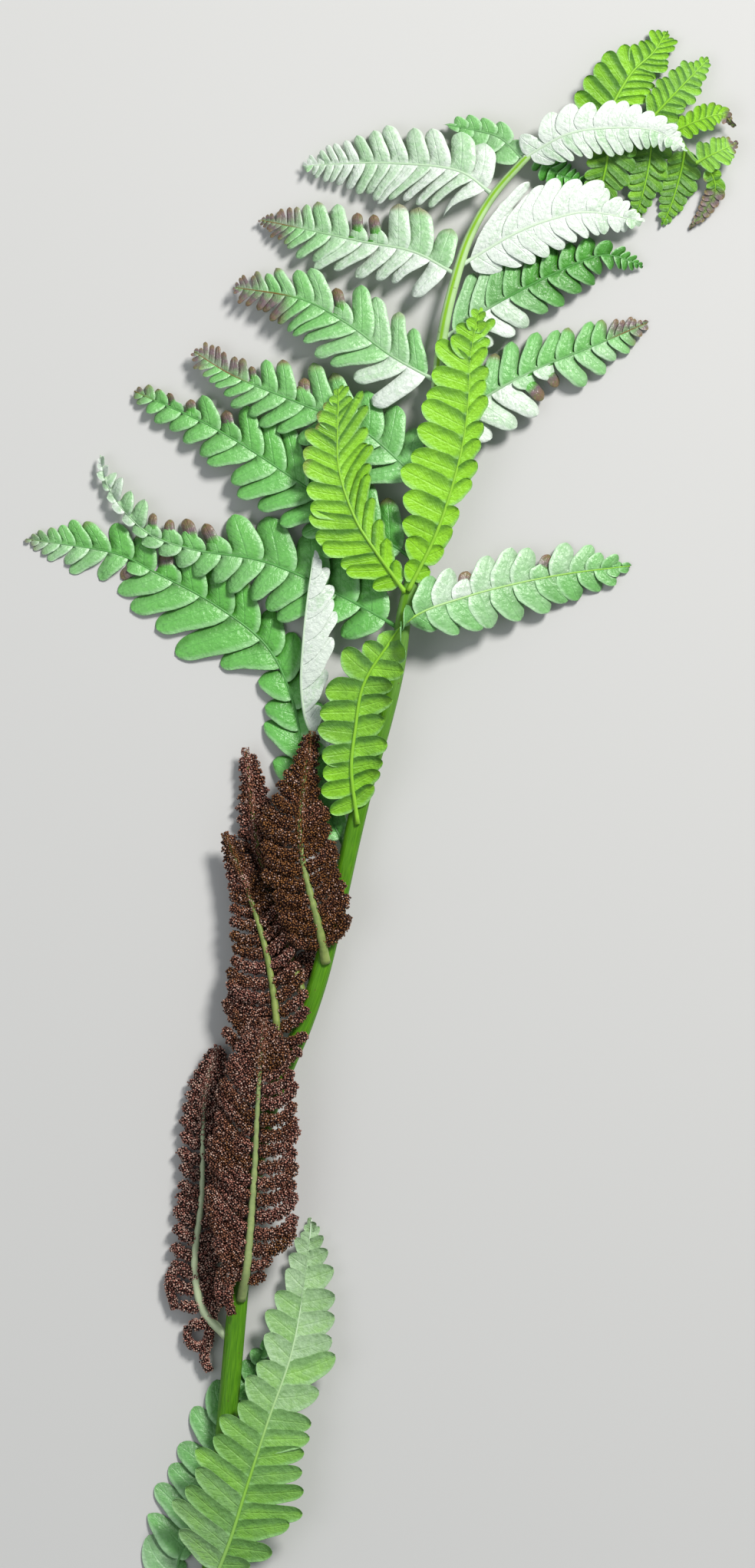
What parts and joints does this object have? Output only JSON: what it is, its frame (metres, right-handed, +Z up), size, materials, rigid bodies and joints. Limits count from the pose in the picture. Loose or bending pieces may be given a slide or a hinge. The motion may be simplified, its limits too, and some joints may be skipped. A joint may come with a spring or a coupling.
{
  "type": "fern frond",
  "caption": "Cut fern frond lying flat, with lobed green leaflets above and below a stretch of brown spore-bearing ones",
  "frame": {"origin": "on the surface the frond lies on, under the middle of its outline seen from above", "axes": "+Z up, away from the surface; +Y along the frond, from its cut stalk towards its tip; +X to its right, seen from above"},
  "size_m": [0.1856, 0.4199, 0.0167],
  "materials": {
    "stalk_green": "smooth fresh green stem",
    "leaf_face": "matte pale green leaf face with sunken veins",
    "leaf_back": "matte yellow-green leaf back with raised rib",
    "leaf_pale": "matte leaf with a pale sheen",
    "spore_brown": "granular brown spore cases"
  },
  "bodies": {
    "root": {"stalk": "stalk_green", "pinna_left_0": "leaf_face", "pinna_left_1": "leaf_face", "pinna_left_2": "leaf_face", "pinna_left_3": "leaf_face", "pinna_left_4": "leaf_face", "pinna_left_5": "leaf_face", "pinna_left_6": "leaf_face", "pinna_left_7": "leaf_face", "pinna_left_folded": "leaf_pale", "pinna_turned_left": "leaf_back", "pinna_turned_right": "leaf_back", "pinna_right_0": "leaf_face", "pinna_right_1": "leaf_pale", "pinna_right_2": "leaf_pale", "pinna_right_3": "leaf_face", "pinna_right_4": "leaf_face", "pinna_right_7": "leaf_back", "pinna_tip_1": "leaf_back", "pinna_tip_2": "leaf_back", "pinna_tip_3": "leaf_back", "pinna_tip_4": "leaf_back", "pinna_tip_5": "leaf_back", "pinna_tip_6": "leaf_back", "pinna_tip_7": "leaf_back", "pinna_tip_8": "leaf_back", "pinna_lower_right": "leaf_back", "pinna_lower_left": "leaf_face", "fertile_pinna_1": "spore_brown", "fertile_pinna_2": "spore_brown", "fertile_pinna_3": "spore_brown", "fertile_pinna_4": "spore_brown", "fertile_pinna_5": "spore_brown"}
  },
  "joints": []
}
